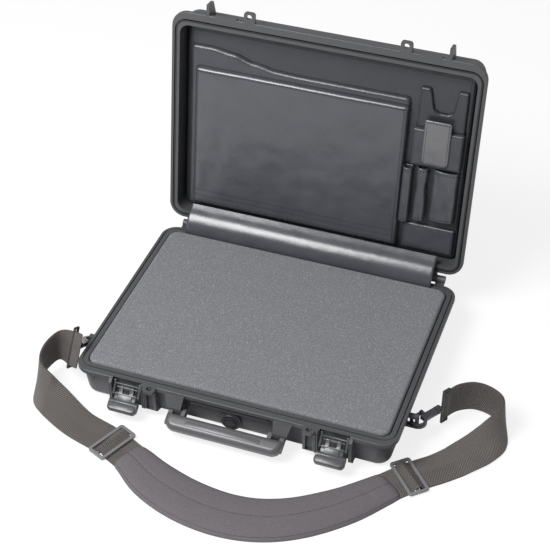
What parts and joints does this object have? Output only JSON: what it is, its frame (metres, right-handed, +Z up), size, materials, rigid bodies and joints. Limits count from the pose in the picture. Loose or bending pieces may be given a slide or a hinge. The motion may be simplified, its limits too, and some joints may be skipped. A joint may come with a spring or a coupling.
{
  "type": "laptop hard case",
  "caption": "Hard carrying case for a laptop with a hinged lid, lever latches, folding handle, foam-filled base, leather organizer in the lid and padded shoulder strap.",
  "frame": {"origin": "on the floor under the middle of the base's rim", "axes": "+X to the case's right, +Y to the hinge at the back, +Z up"},
  "size_m": [0.6044, 0.5749, 0.3854],
  "materials": {
    "shell": "moulded shell with a fine texture",
    "foam": "open-cell foam with light flecks",
    "seal": "smooth rubber",
    "steel": "ground pin",
    "latch": "smooth hard plastic",
    "handle": "satin hard plastic",
    "valve": "smooth hard plastic",
    "board": "stiff board under leather",
    "leather": "soft grained leather",
    "hook": "acetal, satin",
    "webbing": "herringbone nylon webbing",
    "pad": "knitted pad cover",
    "slider": "moulded slider"
  },
  "bodies": {
    "root": {"base_shell": "shell", "base_foam": "foam", "base_foam_pad": "foam", "hinge_pins": "steel", "latch_pins": "steel", "handle_pins": "steel", "purge_valve_body": "valve", "purge_valve_nut": "valve", "left_hook_body": "hook", "left_hook_swivel": "hook", "right_hook_body": "hook", "right_hook_swivel": "hook", "left_webbing": "webbing", "right_webbing": "webbing", "left_slider": "slider", "right_slider": "slider", "shoulder_pad": "pad", "hinge_cover": "leather"},
    "lid": {"lid_shell": "shell", "lid_seal": "seal", "organizer_board": "board", "organizer_screws": "steel", "organizer_rear_pocket": "leather", "organizer_front_pocket": "leather", "organizer_notch_pocket": "leather", "organizer_phone_pocket": "leather", "organizer_tool_loops": "leather", "organizer_lower_panel": "leather"},
    "phone_flap": {"organizer_phone_flap": "leather"},
    "left_lever": {"left_latch_lever": "latch"},
    "right_lever": {"right_latch_lever": "latch"},
    "left_bail": {"left_latch_bail": "latch", "left_bail_pin": "steel"},
    "right_bail": {"right_latch_bail": "latch", "right_bail_pin": "steel"},
    "handle": {"handle_grip": "handle", "handle_core": "steel"},
    "valve_knob": {"purge_valve_knob": "valve"},
    "left_gate": {"left_hook_gate": "hook"},
    "right_gate": {"right_hook_gate": "hook"}
  },
  "joints": [
    {"name": "lid_hinge", "type": "hinge", "parent": "root", "child": "lid", "pos_m": [0, 0.1678, 0.0515], "axis": [1, 0, 0], "range_deg": [0, 98.28], "deforming": ["hinge_cover"]},
    {"name": "phone_flap_hinge", "type": "hinge", "parent": "lid", "child": "phone_flap", "pos_m": [0.158, 0.20757, 0.27894], "axis": [1, 0, 0], "range_deg": [-110, 0]},
    {"name": "left_latch", "type": "hinge", "parent": "root", "child": "left_lever", "pos_m": [-0.1387, -0.1579, 0.036], "axis": [-1, 0, 0], "range_deg": [-7, 114]},
    {"name": "left_bail_pivot", "type": "hinge", "parent": "left_lever", "child": "left_bail", "pos_m": [-0.1387, -0.1634, 0.029], "axis": [-1, 0, 0], "range_deg": [-122.7, 10.35]},
    {"name": "right_latch", "type": "hinge", "parent": "root", "child": "right_lever", "pos_m": [0.1387, -0.1579, 0.036], "axis": [-1, 0, 0], "range_deg": [-7, 114]},
    {"name": "right_bail_pivot", "type": "hinge", "parent": "right_lever", "child": "right_bail", "pos_m": [0.1387, -0.1634, 0.029], "axis": [-1, 0, 0], "range_deg": [-122.7, 10.35]},
    {"name": "handle_fold", "type": "hinge", "parent": "root", "child": "handle", "pos_m": [0, -0.1644, 0.026], "axis": [-1, 0, 0], "range_deg": [-57, 30]},
    {"name": "valve_turn", "type": "hinge", "parent": "root", "child": "valve_knob", "pos_m": [0, -0.154, 0.02], "axis": [0, -1, 0], "range_deg": [0, 90]},
    {"name": "left_gate_swing", "type": "hinge", "parent": "root", "child": "left_gate", "pos_m": [-0.21631, -0.09543, 0.03512], "axis": [0.0572, 0.466, 0.8829], "range_deg": [0, 11], "stiffness_Nm_per_rad": 0.05, "springref_deg": -11.46},
    {"name": "right_gate_swing", "type": "hinge", "parent": "root", "child": "right_gate", "pos_m": [0.223, -0.07023, 0.029], "axis": [0, 0, 1], "range_deg": [0, 11], "stiffness_Nm_per_rad": 0.05, "springref_deg": -11.46}
  ],
  "couplings": [
    {"joint": "left_bail_pivot", "follows": "left_latch", "ratio": -1.05},
    {"joint": "right_bail_pivot", "follows": "right_latch", "ratio": -1.05}
  ]
}
